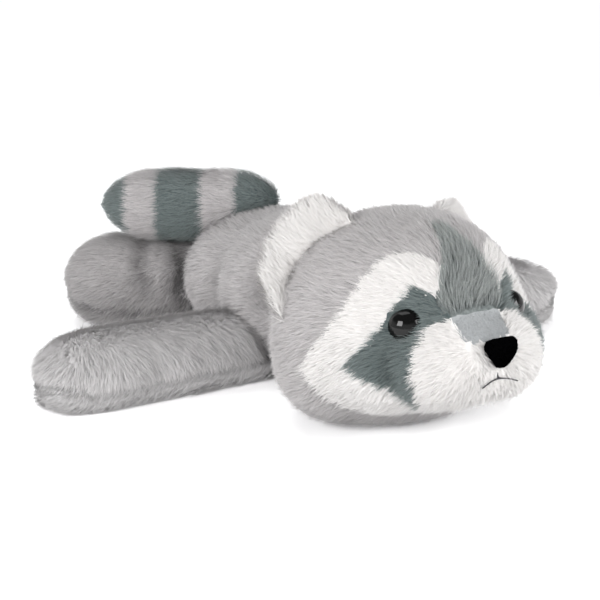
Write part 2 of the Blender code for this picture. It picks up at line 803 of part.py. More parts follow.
def make_limb(kind, label, limb, seam_turn, rooms):
    """The upper and under panels of an arm or a leg, with its stuffing."""
    half = SEAM / 2
    turns = {
        "upper": ((seam_turn, math.pi - seam_turn), half),
        "under": ((math.pi - seam_turn, 2 * math.pi + seam_turn), -half),
    }
    for part, (span, lift) in turns.items():
        name = f"{kind}_{part}_{label}"
        panel = add_object(name, limb.panel(name, (0.0, 1.0), span, LIMB_FACETS, lift), "light_grey")
        cut(panel, "DIFFERENCE", rooms)
    name = f"{kind}_stuffing_{label}"
    core = add_object(name, limb.solid(name, LIMB_CORE_FACETS, WALL + CORE_EASE), "fibre")
    return core


def make_tail(torso_room):
    limb = tail_limb()
    gap = SEAM / 2 / TAIL_LENGTH
    last = len(TAIL_BAND_ENDS) - 2
    for number, (start, end) in enumerate(zip(TAIL_BAND_ENDS, TAIL_BAND_ENDS[1:])):
        start = start + gap if number else start
        end = end - gap if number < last else end
        name = f"tail_band_{number + 1}"
        colour = "light_grey" if number % 2 else "dark_grey"
        band = add_object(name, limb.panel(name, (start, end), (0, 2 * math.pi), TAIL_BAND_FACETS), colour)
        cut(band, "DIFFERENCE", [torso_room])
    core = add_object("tail_stuffing", limb.solid("tail_stuffing", TAIL_CORE_FACETS, WALL + CORE_EASE), "fibre")
    cut(core, "DIFFERENCE", [torso_room])


def build():
    clear_scene()
    head = head_form()
    torso = torso_form()
    head_room = add_object("head_room", head.mesh("head_room", HEAD_FACETS, -FIT))
    torso_room = add_object("torso_room", torso.mesh("torso_room", TORSO_FACETS, -FIT))
    channel = make_band()
    face_rooms, core_rooms = [], []
    for side, label in ((-1, "right"), (1, "left")):
        room, seat = make_eye(side, label, head)
        face_rooms.append(room)
        core_rooms.append(seat)
    room, seat = make_nose(head)
    face_rooms.append(room)
    core_rooms.append(seat)
    make_mouth(head)
    make_head(head, face_rooms)
    make_head_core(head, core_rooms)
    make_torso(torso, head_room, channel)
    for side, label in ((-1, "right"), (1, "left")):
        arm_core = make_limb("arm", label, arm_limb(side), ARM_SEAM_TURN, [torso_room, head_room])
        cut(arm_core, "DIFFERENCE", [torso_room, head_room, channel])
        leg_core = make_limb("leg", label, leg_limb(side), LEG_SEAM_TURN, [torso_room])
        cut(leg_core, "DIFFERENCE", [torso_room])
    make_ear(-1, "right", RIGHT_EAR_SPLAY, RIGHT_EAR_LEAN, head_room)
    make_ear(1, "left", LEFT_EAR_SPLAY, LEFT_EAR_LEAN, head_room)
    make_tail(torso_room)


build()
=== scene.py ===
"""Plush raccoon slap bracelet: soft skins under a pile of modelled strands, the face and a pale studio."""

import math
from collections import namedtuple

import bmesh
import bpy
import numpy as np
from mathutils import Matrix, Vector
from mathutils.bvhtree import BVHTree
from mathutils.kdtree import KDTree


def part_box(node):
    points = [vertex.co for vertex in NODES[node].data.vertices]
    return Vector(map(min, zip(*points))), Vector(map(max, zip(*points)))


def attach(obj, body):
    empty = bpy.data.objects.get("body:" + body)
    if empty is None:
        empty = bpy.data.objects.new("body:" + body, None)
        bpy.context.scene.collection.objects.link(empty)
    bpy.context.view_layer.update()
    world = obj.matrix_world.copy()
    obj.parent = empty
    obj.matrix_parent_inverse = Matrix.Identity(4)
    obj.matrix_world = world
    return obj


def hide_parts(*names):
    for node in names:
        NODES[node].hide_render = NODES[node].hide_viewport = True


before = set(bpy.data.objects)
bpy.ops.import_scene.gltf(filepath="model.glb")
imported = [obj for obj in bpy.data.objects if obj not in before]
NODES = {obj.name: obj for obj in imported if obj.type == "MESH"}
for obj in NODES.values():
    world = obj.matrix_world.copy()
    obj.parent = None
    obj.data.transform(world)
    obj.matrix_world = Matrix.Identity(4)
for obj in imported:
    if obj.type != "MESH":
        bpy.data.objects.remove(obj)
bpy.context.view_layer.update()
MM = 0.001
RNG = np.random.default_rng(7)


def middle(node):
    low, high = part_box(node)
    return (Vector(low) + Vector(high)) / 2


# Camera, from the photograph
VIEW_AZIMUTH = math.radians(-29)
VIEW_ELEVATION = math.radians(18)
VIEW_DISTANCE = 0.560
VIEW_TARGET = Vector((-0.0058, 0.0, 0.0239))
FRAME_SIZE = 600
LENS = 90.42
SENSOR = 36
NEAREST_VIEW = 0.01

# Studio. A softbox has a name, a way from the object, a distance, a size and a radiance
SOFTBOXES = [
    ("left_softbox", (-0.90, -0.42, 0.40), 0.85, 0.38, 11.0),
    ("right_softbox", (0.60, -0.75, 0.38), 0.85, 0.36, 10.0),
    ("top_softbox", (0.05, 0.30, 1.0), 1.0, 0.8, 2.0),
]
LIT_PLACE = Vector((0, -0.03, 0.03))
WALL_TOP = 0.22
DIM_ABOVE = 0.42
WORLD_LIGHT = 0.2
FLOOR_SIZE = 6
FLOOR_COLOURS = ((0.88, 0.88, 0.885), (0.89, 0.89, 0.895))
FLOOR_GAIN = 2.0
FLOOR_NEAR = 0.28
FLOOR_FAR = 0.60

# The soft parts: panels that show, stuffing, how full it is, slot and number of strands
Part = namedtuple("Part", "name outer inner fill slot strands")
HEAD = ["head_side_right", "head_side_left", "head_back", "jaw", "blaze", "mask_right", "mask_left",
        "cheek_right", "cheek_left", "nose_bridge", "muzzle_right", "muzzle_left", "chin"]
TAIL = [f"tail_band_{number}" for number in range(1, 6)]
PARTS = [
    Part("head", HEAD, ["head_stuffing"], 0.8, "grey_plush", 102000),
    Part("torso", ["torso_back", "torso_belly"], ["torso_stuffing"], 0.7, "grey_plush", 52000),
    Part("tail", TAIL, ["tail_stuffing"], 0.7, "grey_plush", 24000),
]
for label in ("right", "left"):
    for limb, count in (("arm", 34000), ("leg", 26000)):
        limb_panels = [f"{limb}_upper_{label}", f"{limb}_under_{label}"]
        limb_stuffing = [f"{limb}_stuffing_{label}"]
        PARTS.append(Part(f"{limb}_{label}", limb_panels, limb_stuffing, 0.6, "grey_plush", count))
    ear_panels = [f"ear_lining_{label}", f"ear_back_{label}"]
    PARTS.append(Part(f"ear_{label}", ear_panels, [], 0.2, "white_plush", 9000))

# Soft skins
Surface = namedtuple("Surface", "skin panels folds seams")
VOXEL = 2.6 * MM
SMOOTHING = 7
EAR_VOXEL = 1.3 * MM
EAR_SMOOTHING = 12
CLOTH_PRESSURE = 4
CLOTH_MASS = 0.2
CLOTH_FRAMES = 12
BULGE = 1.6 * MM
SEAM_PULL = 0.7 * MM
SHALLOW_PULL = SEAM_PULL / 6
SEAM_SMOOTHING = 2
FLOOR_LIFT = 0.15 * MM

# Folds and creases, drawn in the photograph's pixels
Crease = namedtuple("Crease", "part pixels width depth")
CREASES = [
    Crease("torso", ((270, 318), (262, 296), (268, 272)), 5.0 * MM, 4.5 * MM),
    Crease("torso", ((282, 306), (268, 303), (254, 301)), 4.0 * MM, 4.0 * MM),
    Crease("torso", ((222, 306), (217, 285), (224, 262)), 3.5 * MM, 2.0 * MM),
    Crease("leg_right", ((150, 232), (143, 262), (152, 290)), 3.5 * MM, 2.4 * MM),
    Crease("leg_right", ((181, 240), (186, 268), (180, 296)), 4.0 * MM, 3.2 * MM),
    Crease("head", ((392, 345), (388, 362), (396, 384)), 3.0 * MM, 2.6 * MM),
    Crease("ear_right", ((334, 240), (320, 262), (308, 290)), 3.0 * MM, 0.8 * MM),
    Crease("arm_right", ((205, 352), (200, 372)), 3.0 * MM, 1.0 * MM),
    Crease("arm_right", ((150, 352), (154, 378)), 3.0 * MM, 0.9 * MM),
]
CREASE_STEPS = 12
CREASE_END = 0.4
CREASE_DEEPENING = 3

# Kinds of plush: colours at root and tip, strand length and how far the strands' shade varies
Plush = namedtuple("Plush", "root tip length spread")
PLUSH = {
    "body": Plush((0.40, 0.385, 0.392), (0.66, 0.635, 0.635), 5.2 * MM, 0.07),
    "arm": Plush((0.70, 0.69, 0.695), (0.92, 0.90, 0.90), 6.6 * MM, 0.09),
    "dark": Plush((0.085, 0.106, 0.108), (0.215, 0.258, 0.254), 4.8 * MM, 0.09),
    "blaze": Plush((0.125, 0.145, 0.145), (0.385, 0.41, 0.40), 6.0 * MM, 0.13),
    "white": Plush((0.88, 0.86, 0.845), (0.95, 0.93, 0.915), 4.4 * MM, 0.03),
    "bridge": Plush((0.365, 0.38, 0.39), (0.485, 0.50, 0.51), 1.5 * MM, 0.05),
    "lining": Plush((0.88, 0.86, 0.845), (0.94, 0.92, 0.905), 4.8 * MM, 0.03),
}
BRIDGE_FOOT = 41.5 * MM
JAW_TOP = 9.0 * MM

# The way the pile lies on the left side, which the right side mirrors
FROM_NOSE_DOWN = 0.25
BLAZE_WAY = (0.12, 0.5, 0.9)
BLAZE_FROM_NOSE = 0.15
BRIDGE_WAY = (0.0, -1.0, -0.3)
EAR_WAY = (0.6, 0.3, 0.5)
TORSO_WAY = (0.0, 1.0, -0.55)
ARM_WAY = (0.9, 0.0, -0.35)
ARM_INWARD = (-0.22, 0.0, 0.0)
ARM_END_WAY = (0.9, -0.25, -0.35)
ARM_END_START = 82 * MM
ARM_END_BLEND = 24 * MM
LEG_WAY = (0.86, 0.5, -0.6)
TAIL_WAY = (-0.86, 0.5, -0.05)
WAVES = 5
WAVE_PHASES = 6.28
WAVE_HEIGHT = 2.2
TUFT, TUFT_SWAY = 9 * MM, 0.24
LOCK, LOCK_SWAY = 2.2 * MM, 0.12
STRAND_SWAY = 0.15

# Strands: a quad and a pointed end on five points, with each point's place along and across
STRAND_CORNERS = np.array([0, 1, 2, 3, 3, 2, 4])
STRAND_FACES = np.array([0, 4])
STRAND_ALONG = np.array([0.03, 0.03, 0.5, 0.5, 0.97])
STRAND_ACROSS = np.array([-1, 1, 1, -1, 0])
STRAND_WIDTH = 0.21 * MM
WIDTH_RANGE = (0.7, 1.2)
TAPER = 0.8
PALETTE_WIDTH = 0.02
STRANDS_PER_PIECE = 62000
ROOT_DEPTH = 0.4 * MM
LOWER_LENGTH, LOWER_RISE, LOWER_LAY = 0.45, 0.58, 0.9
UPPER_LENGTH, UPPER_RISE = 0.60, 0.20
EAR_RISE = 1.5
RISE_SCATTER = 0.42
TILT_SCATTER = 0.25
TILT_LAY = 0.15
LENGTH_RANGE = (0.72, 1.12)
RESTING_HEIGHT = 1.2 * MM
RESTING_NORMAL = -0.6
RESTING_SHARE = 0.12
RAGGED_EDGE = 0.8 * MM

# Where the pile is cut short: centre, radius of the closest cut and width of the slope round it
NOSE_TIP = np.array([0.0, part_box("nose")[0][1], middle("nose").z])
TRIMS = [(NOSE_TIP, 2.4 * MM, 3.6 * MM), (np.array(middle("mouth_thread")), -2.0 * MM, 9.0 * MM)]
TRIMS += [(np.array(middle(eye)), 3.6 * MM, 2.6 * MM) for eye in ("eye_left", "eye_right")]
CLOSEST_CUT = 0.25
ARM_BACK_NORMAL = 0.3
ARM_BACK_CUT = 0.5
SEAM_CUTS = {"arm": (0.62, 4.0 * MM), "leg": (0.45, 1.5 * MM)}

# Shade on the palette: a random tone per strand and in patches, painted shade where skins meet, along the
# limbs' seams, in folds, on the legs, under the jaw near the floor and on the face's mask, and darker
# towards the arms' ends
BASE_SHADE = 0.86
SHADE_RANGE = (0.05, 0.95)
SHADE_SCATTER = 0.8
PATCH, PATCH_SHADE = 5 * MM, 0.6
CONTACT, CONTACT_SHADE = 5.0 * MM, 0.40
ARM_SHADE_START, ARM_SHADE_BLEND, ARM_SHADE = 72 * MM, 30 * MM, 0.30
SEAM_REACH, SEAM_SHADE, SEAM_NORMAL = 1.3 * MM, 0.48, 0.2
LEG_FOOT, LEG_SHADE, LEG_FOOT_SHADE = 26 * MM, 0.20, 0.24
JAW_BLEND, JAW_SHADE = 1.4, 0.22
# Painted shade in uneven dark gaps under the jaw: their size and depth
JAW_GAPS, JAW_GAP_SHADE = 3 * MM, 0.30
# Painted shade on the face's dark mask, which is darker than the same plush on the tail
MASK_SHADE = 0.12
FOLD_SHADE, DEEPEST_FOLD = 0.17, 4.0

# Face
EYE_SHIFT = (0.2, -0.6, -0.7)
NOSE_SHIFT = (1.3, 0, 0)
NOSE_ROUGHNESS = 0.13 * MM
NOSE_FLARE = 0.16
NOSE_CORNERS = 0.22
NOSE_DIP = 0.10
THREAD_THINNING = 0.2 * MM


def kind_of(node, height=math.inf):
    """The kind of plush on a CAD node. White covers the bridge's foot, and the cheeks are grey below."""
    if node == "nose_bridge":
        return "bridge" if height > BRIDGE_FOOT else "white"
    if node.startswith("cheek") and height < JAW_TOP:
        return "body"
    if node.startswith("ear_lining"):
        return "lining"
    if node == "blaze":
        return "blaze"
    if node.startswith(("mask", "tail_band_1", "tail_band_3", "tail_band_5")):
        return "dark"
    if node.startswith(("chin", "muzzle", "cheek")):
        return "white"
    if node.startswith("arm"):
        return "arm"
    return "body"


def kinds_of(nodes):
    return [kind for kind in PLUSH if any(kind_of(node) == kind for node in nodes)]


def view_axes():
    """The camera's right, its up, and the way back to it from what it looks at."""
    sine, cosine, level = math.sin(VIEW_AZIMUTH), math.cos(VIEW_AZIMUTH), math.cos(VIEW_ELEVATION)
    right = Vector((cosine, sine, 0))
    back = Vector((sine * level, -cosine * level, math.sin(VIEW_ELEVATION)))
    return right, back.cross(right), back


# Materials


def grey(value):
    return (value,) * 3


class Shader:
    """A Principled material with short calls for its nodes."""

    def __init__(self, name, **sockets):
        self.material = bpy.data.materials.new(name)
        self.material.use_nodes = True
        self.tree = self.material.node_tree
        self.principled = self.tree.nodes["Principled BSDF"]
        for socket, value in sockets.items():
            self.principled.inputs[socket.replace("_", " ")].default_value = value

    def node(self, kind, inputs=(), **settings):
        made = self.tree.nodes.new("ShaderNode" + kind)
        for key, value in settings.items():
            setattr(made, key, value)
        for key, value in dict(inputs).items():
            if isinstance(value, bpy.types.NodeSocket):
                self.tree.links.new(value, made.inputs[key])
            else:
                made.inputs[key].default_value = value
        return made

    def link(self, source, socket):
        self.tree.links.new(source, self.principled.inputs[socket])

    def calculate(self, operation, *values):
        return self.node("Math", enumerate(values), operation=operation).outputs["Value"]

    def mix(self, factor, first, second, blend_type="MIX"):
        inputs = {"Fac": factor, "Color1": first, "Color2": second}
        return self.node("MixRGB", inputs, blend_type=blend_type).outputs["Color"]

    def noise(self, scale, detail=3.0):
        place = self.node("TexCoord").outputs["Object"]
        return self.node("TexNoise", {"Vector": place, "Scale": scale, "Detail": detail}).outputs["Fac"]

    def ramp(self, factor, stops, interpolation="LINEAR"):
        made = self.node("ValToRGB", {"Fac": factor})
        made.color_ramp.interpolation = interpolation
        elements = made.color_ramp.elements
        while len(elements) < len(stops):
            elements.new(0.5)
        while len(elements) > len(stops):
            elements.remove(elements[-1])
        for element, (place, colour) in zip(elements, stops):
            element.position = place
            element.color = (*colour, 1.0)
        return made.outputs["Color"]

    def bump(self, height, strength, distance):
        made = self.node("Bump", {"Height": height, "Strength": strength, "Distance": distance})
        self.link(made.outputs["Normal"], "Normal")


def pile_material(part, kinds):
    """Strands: the kind of plush and its shade come from V, and root to tip from U."""
    sheen = {"Sheen_Weight": 0.25, "Sheen_Roughness": 0.5}
    shader = Shader("pile_" + part, Roughness=0.75, Specular_IOR_Level=0.25, **sheen)
    uv = shader.node("UVMap", uv_map="OFBake").outputs["UV"]
    split = shader.node("SeparateXYZ", {"Vector": uv})
    along, row = split.outputs["X"], split.outputs["Y"]
    starts = [index / len(kinds) for index in range(len(kinds))]
    roots = shader.ramp(row, [(start, PLUSH[kind].root) for start, kind in zip(starts, kinds)], "CONSTANT")
    tips = shader.ramp(row, [(start, PLUSH[kind].tip) for start, kind in zip(starts, kinds)], "CONSTANT")
    rise = shader.ramp(along, [(0.0, grey(0.0)), (0.35, grey(0.45)), (0.8, grey(1.0))])
    mixed = shader.mix(rise, roots, tips)
    # The shade on V holds the strands' random tone and their painted shade, and this ramp turns it into
    # how light the plush is
    shade = shader.calculate("FRACT", shader.calculate("MULTIPLY", row, float(len(kinds))))
    light = shader.ramp(shade, [(0.0, grey(0.22)), (0.5, grey(0.70)), (0.95, grey(1.0))])
    shader.link(shader.mix(1.0, mixed, light, "MULTIPLY"), "Base Color")
    return shader.material


def backing_material(kind):
    """The knitted backing that shows between the strands."""
    shader = Shader("backing_" + kind, Roughness=0.95, Specular_IOR_Level=0.15)
    root, tip = PLUSH[kind].root, PLUSH[kind].tip
    between = tuple((a + b) / 2 for a, b in zip(root, tip))
    shader.link(shader.ramp(shader.noise(900), [(0.3, root), (0.7, between)]), "Base Color")
    shader.bump(shader.noise(1500), 0.6, 0.3 * MM)
    return shader.material


def thing_material(name, colour, variation, scale, bump=0.0, **sockets):
    """A plain stuff whose colour varies a little at the given scale."""
    shader = Shader(name, **sockets)
    low = tuple(part * (1 - variation) for part in colour)
    high = tuple(min(1.0, part * (1 + variation)) for part in colour)
    shader.link(shader.ramp(shader.noise(scale), [(0.3, low), (0.7, high)]), "Base Color")
    if bump:
        shader.bump(shader.noise(scale * 2), bump, 0.2 * MM)
    return shader.material


# Mesh helpers


def link(name, mesh):
    obj = bpy.data.objects.new(name, mesh)
    bpy.context.scene.collection.objects.link(obj)
    return obj


def mesh_from(bm, name):
    mesh = bpy.data.meshes.new(name)
    bm.to_mesh(mesh)
    bm.free()
    return mesh


def joined(name, nodes):
    """One mesh of several CAD nodes."""
    bm = bmesh.new()
    for node in nodes:
        bm.from_mesh(NODES[node].data)
    bmesh.ops.triangulate(bm, faces=bm.faces)
    return mesh_from(bm, name)


def search_tree(mesh):
    points = [vert.co for vert in mesh.vertices]
    return BVHTree.FromPolygons(points, [face.vertices for face in mesh.polygons])


class Panels:
    """Finds the CAD node that a point lies nearest to."""

    def __init__(self, nodes):
        self.owners = []
        points, faces = [], []
        for node in nodes:
            mesh = NODES[node].data
            mesh.calc_loop_triangles()
            start = len(points)
            points += [vert.co for vert in mesh.vertices]
            for triangle in mesh.loop_triangles:
                faces.append([start + index for index in triangle.vertices])
                self.owners.append(node)
        self.tree = BVHTree.FromPolygons(points, faces)

    def at(self, point):
        return self.owners[self.tree.find_nearest(point)[2]]


def apply_modifiers(obj):
    graph = bpy.context.evaluated_depsgraph_get()
    mesh = bpy.data.meshes.new_from_object(obj.evaluated_get(graph))
    obj.modifiers.clear()
    obj.data = mesh


def keep_largest_island(mesh):
    bm = bmesh.new()
    bm.from_mesh(mesh)
    seen, islands = set(), []
    for first in bm.verts:
        island, waiting = [], [first]
        while waiting:
            vert = waiting.pop()
            if vert in seen:
                continue
            seen.add(vert)
            island.append(vert)
            waiting += [edge.other_vert(vert) for edge in vert.link_edges]
        islands.append(island)
    largest = max(islands, key=len)
    for island in islands:
        if island is not largest:
            bmesh.ops.delete(bm, geom=island, context="VERTS")
    bm.to_mesh(mesh)
    bm.free()


def smooth(mesh, rounds):
    """Smooths the mesh and moves it back out to the volume it had."""
    bm = bmesh.new()
    bm.from_mesh(mesh)
    before = bm.calc_volume()
    every_axis = {"use_axis_x": True, "use_axis_y": True, "use_axis_z": True}
    for _ in range(rounds):
        bmesh.ops.smooth_vert(bm, verts=bm.verts, factor=0.5, **every_axis)
    bm.normal_update()
    area = sum(face.calc_area() for face in bm.faces)
    out = (before - bm.calc_volume()) / area
    for vert in bm.verts:
        vert.co += vert.normal * out
    bm.to_mesh(mesh)
    bm.free()


def push(mesh, depth):
    """Moves each point inward along its normal by the depth that the function gives for it."""
    moves = [vert.normal * depth(vert) for vert in mesh.vertices]
    for vert, move in zip(mesh.vertices, moves):
        vert.co -= move


# Soft skins


def pixel_ray(x, y):
    """Where the camera stands, and the way it looks through a pixel of the photograph."""
    right, up, back = view_axes()
    pixels = LENS / SENSOR * FRAME_SIZE
    way = right * (x - FRAME_SIZE / 2) / pixels + up * (FRAME_SIZE / 2 - y) / pixels - back
    return VIEW_TARGET + back * VIEW_DISTANCE, way.normalized()


def crease_lines(part, mesh):
    """The creases of a part as points on its skin, each with its width and depth."""
    tree = search_tree(mesh)
    lines = []
    for crease in CREASES:
        if crease.part != part:
            continue
        spots = []
        for (x, y), (next_x, next_y) in zip(crease.pixels, crease.pixels[1:]):
            for share in np.linspace(0, 1, CREASE_STEPS):
                hit = tree.ray_cast(*pixel_ray(x + (next_x - x) * share, y + (next_y - y) * share))[0]
                if hit:
                    spots.append(hit)
        if spots:
            lines.append((np.array(spots), crease.width, crease.depth))
    return lines


def fold_depth(place, folds):
    """How deep the creases pull the skin in at a place."""
    total = 0.0
    for spots, width, depth in folds:
        away = np.linalg.norm(spots - np.array(place), axis=1)
        nearest = int(away.argmin())
        from_end = min(nearest, len(spots) - 1 - nearest) / len(spots)
        fading = min(1.0, CREASE_END + CREASE_DEEPENING * from_end)
        total += depth * math.exp(-((away[nearest] / width) ** 2)) * fading
    return total


def remeshed(name, nodes, ear):
    """One closed, smoothed skin over sewn CAD panels and their stuffing."""
    skin = link(name, joined(name, nodes))
    remesh = skin.modifiers.new("remesh", "REMESH")
    remesh.mode = "VOXEL"
    remesh.voxel_size = EAR_VOXEL if ear else VOXEL
    apply_modifiers(skin)
    keep_largest_island(skin.data)
    smooth(skin.data, EAR_SMOOTHING if ear else SMOOTHING)
    return skin


def seam_of(mesh, panels):
    """The points of a skin that lie where two panels meet."""
    owners = [panels.at(vert.co) for vert in mesh.vertices]
    seam = set()
    for edge in mesh.edges:
        first, second = edge.vertices
        if owners[first] != owners[second]:
            seam.update((first, second))
    return seam


def blow_up(skin, seam):
    """Lets the skin swell as cloth under pressure, held at its seams."""
    held = skin.vertex_groups.new(name="seams")
    held.add(list(seam), 1.0, "REPLACE")
    cloth = skin.modifiers.new("cloth", "CLOTH")
    cloth.settings.use_pressure = True
    cloth.settings.uniform_pressure_force = CLOTH_PRESSURE
    cloth.settings.vertex_group_mass = "seams"
    cloth.settings.effector_weights.gravity = 0
    cloth.settings.mass = CLOTH_MASS
    for number in range(1, CLOTH_FRAMES + 1):
        bpy.context.scene.frame_set(number)
    apply_modifiers(skin)
    bpy.context.scene.frame_set(1)


def pull_in_seams(mesh, seam, rest, pull):
    """Keeps the bulge small, and draws the seams in from where they were."""
    for vert, start in zip(mesh.vertices, rest):
        move = vert.co - start
        if move.length > BULGE:
            vert.co = start + move.normalized() * BULGE
    normals = [vert.normal.copy() for vert in mesh.vertices]
    for index in seam:
        mesh.vertices[index].co = rest[index] - normals[index] * pull
    smooth(mesh, SEAM_SMOOTHING)


def cover(mesh, outer, panels):
    """Gives each face the backing of the plush on its panel."""
    kinds = kinds_of(outer)
    for kind in kinds:
        mesh.materials.append(BACKINGS[kind])
    for face in mesh.polygons:
        face.material_index = kinds.index(kind_of(panels.at(face.center), face.center.z))
        face.use_smooth = True


def padded_skin(part):
    """One soft skin over a part: blown up between its seams, and drawn in along them and at its folds."""
    name, outer, inner, fill, slot, _ = part
    ear = name.startswith("ear")
    skin = remeshed(name + "_skin", outer + inner, ear)
    panels = Panels(outer)
    seam = seam_of(skin.data, panels)
    rest = [vert.co.copy() for vert in skin.data.vertices]
    if not ear:
        blow_up(skin, seam)
    skin.data.update()
    deep = name.startswith(("arm", "leg", "torso"))
    pull_in_seams(skin.data, seam, rest, SEAM_PULL if deep else SHALLOW_PULL)
    folds = crease_lines(name, skin.data)
    skin.data.update()
    push(skin.data, lambda vert: fold_depth(vert.co, folds))
    for vert in skin.data.vertices:
        vert.co.z = max(vert.co.z, FLOOR_LIFT)
    cover(skin.data, outer, panels)
    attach(skin, "root")
    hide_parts(*outer, *inner)
    seams = KDTree(len(seam))
    for index in seam:
        seams.insert(skin.data.vertices[index].co, index)
    seams.balance()
    return Surface(skin, panels, folds, seams)


def solid_of(mesh):
    """A skin's box, and a tree to find its nearest point by."""
    points = np.array([vert.co for vert in mesh.vertices])
    return points.min(axis=0), points.max(axis=0), search_tree(mesh)


# Pile


def unit(vectors):
    return vectors / np.maximum(np.linalg.norm(vectors, axis=-1, keepdims=True), 1e-9)


def mesh_arrays(mesh):
    """Corner places, corner normals and area of each triangle."""
    mesh.calc_loop_triangles()
    points = np.empty(len(mesh.vertices) * 3)
    mesh.vertices.foreach_get("co", points)
    normals = np.empty(len(mesh.vertices) * 3)
    mesh.vertices.foreach_get("normal", normals)
    corners = np.empty(len(mesh.loop_triangles) * 3, np.int64)
    mesh.loop_triangles.foreach_get("vertices", corners)
    points, normals, corners = points.reshape(-1, 3), normals.reshape(-1, 3), corners.reshape(-1, 3)
    a, b, c = (points[corners[:, index]] for index in range(3))
    areas = np.linalg.norm(np.cross(b - a, c - a), axis=1) / 2
    return points[corners], normals[corners], areas


def smooth_noise(points, scale, seed):
    """Soft random directions that change over the given length."""
    waves = np.random.default_rng(seed)
    total = np.zeros_like(points)
    for _ in range(WAVES):
        ways = waves.normal(size=(3, 3)) / scale
        total += np.sin(points @ ways.T + waves.uniform(0, WAVE_PHASES, 3))
    return total / WAVE_HEIGHT


def sided(part, way):
    """A way of the left side, mirrored where the part is on the right."""
    return np.array(way) * (-1 if part.endswith("right") else 1, 1, 1)


def flow_of(part, node, points, normals):
    """The way the pile lies at points on a CAD node."""
    if node == "blaze":
        return BLAZE_FROM_NOSE * unit(points - NOSE_TIP) + BLAZE_WAY
    if node == "nose_bridge":
        return np.tile(BRIDGE_WAY, (len(points), 1))
    if part == "head":
        return unit(points - NOSE_TIP) - [0.0, 0.0, FROM_NOSE_DOWN]
    if part.startswith("arm"):
        end = np.clip((np.abs(points[:, :1]) - ARM_END_START) / ARM_END_BLEND, 0, 1)
        around = np.cross([1.0, 0.0, 0.0], normals) + sided(part, ARM_INWARD)
        along = around if "upper" in node else sided(part, ARM_WAY)
        return along * (1 - end) + sided(part, ARM_END_WAY) * end
    if part.startswith("ear"):
        way = sided(part, EAR_WAY)
    elif part.startswith("leg"):
        way = sided(part, LEG_WAY)
    else:
        way = TORSO_WAY if part == "torso" else TAIL_WAY
    return np.tile(way, (len(points), 1))


def inside_of(solids, points):
    """Which points lie inside any of the skins."""
    found = np.zeros(len(points), bool)
    for low, high, tree in solids:
        near = np.nonzero(((points > low) & (points < high)).all(axis=1) & ~found)[0]
        for index in near:
            place = Vector(points[index])
            hit, normal, _, _ = tree.find_nearest(place)
            found[index] = (place - hit).dot(normal) < 0
    return found


def closeness(solids, points):
    """How near each point lies to any of the skins, up to 1 where they touch."""
    found = np.zeros(len(points))
    for low, high, tree in solids:
        near = np.nonzero(((points > low - CONTACT) & (points < high + CONTACT)).all(axis=1))[0]
        for index in near:
            away = tree.find_nearest(Vector(points[index]))[3]
            found[index] = max(found[index], math.exp(-((away / CONTACT) ** 2)))
    return found


def trim_of(points):
    """How short the pile is cut: close round the eyes, the nose and the mouth."""
    length = np.ones(len(points))
    for centre, radius, slope in TRIMS:
        away = np.linalg.norm(points - centre, axis=1)
        length = np.minimum(length, np.clip((away - radius) / slope, CLOSEST_CUT, 1.0))
    return length


def scattered(mesh, count):
    """Random places on a skin, fewer of them where it rests on the floor, with its normals there."""
    corners, corner_normals, areas = mesh_arrays(mesh)
    facing = corner_normals[:, :, 2].mean(axis=1)
    resting = (corners.mean(axis=1)[:, 2] < RESTING_HEIGHT) & (facing < RESTING_NORMAL)
    weight = areas * np.where(resting, RESTING_SHARE, 1.0)
    picked = RNG.choice(len(areas), count, p=weight / weight.sum())
    shares = RNG.dirichlet((1, 1, 1), count)[:, :, None]
    return (corners[picked] * shares).sum(axis=1), unit((corner_normals[picked] * shares).sum(axis=1))


def lay_of(part, panels, roots, normals):
    """The way each strand lies along the skin, and the length of the plush that it grows from."""
    flow = np.zeros_like(roots)
    length = np.zeros(len(roots))
    owners = np.array([panels.at(Vector(root)) for root in roots])
    for node in np.unique(owners):
        mine = owners == node
        flow[mine] = flow_of(part, node, roots[mine], normals[mine])
        length[mine] = PLUSH[kind_of(node)].length
    sway = TUFT_SWAY * smooth_noise(roots, TUFT, 3) + LOCK_SWAY * smooth_noise(roots, LOCK, 4)
    flow = unit(flow) + sway + RNG.normal(0, STRAND_SWAY, roots.shape)
    return unit(flow - (flow * normals).sum(axis=1, keepdims=True) * normals), length


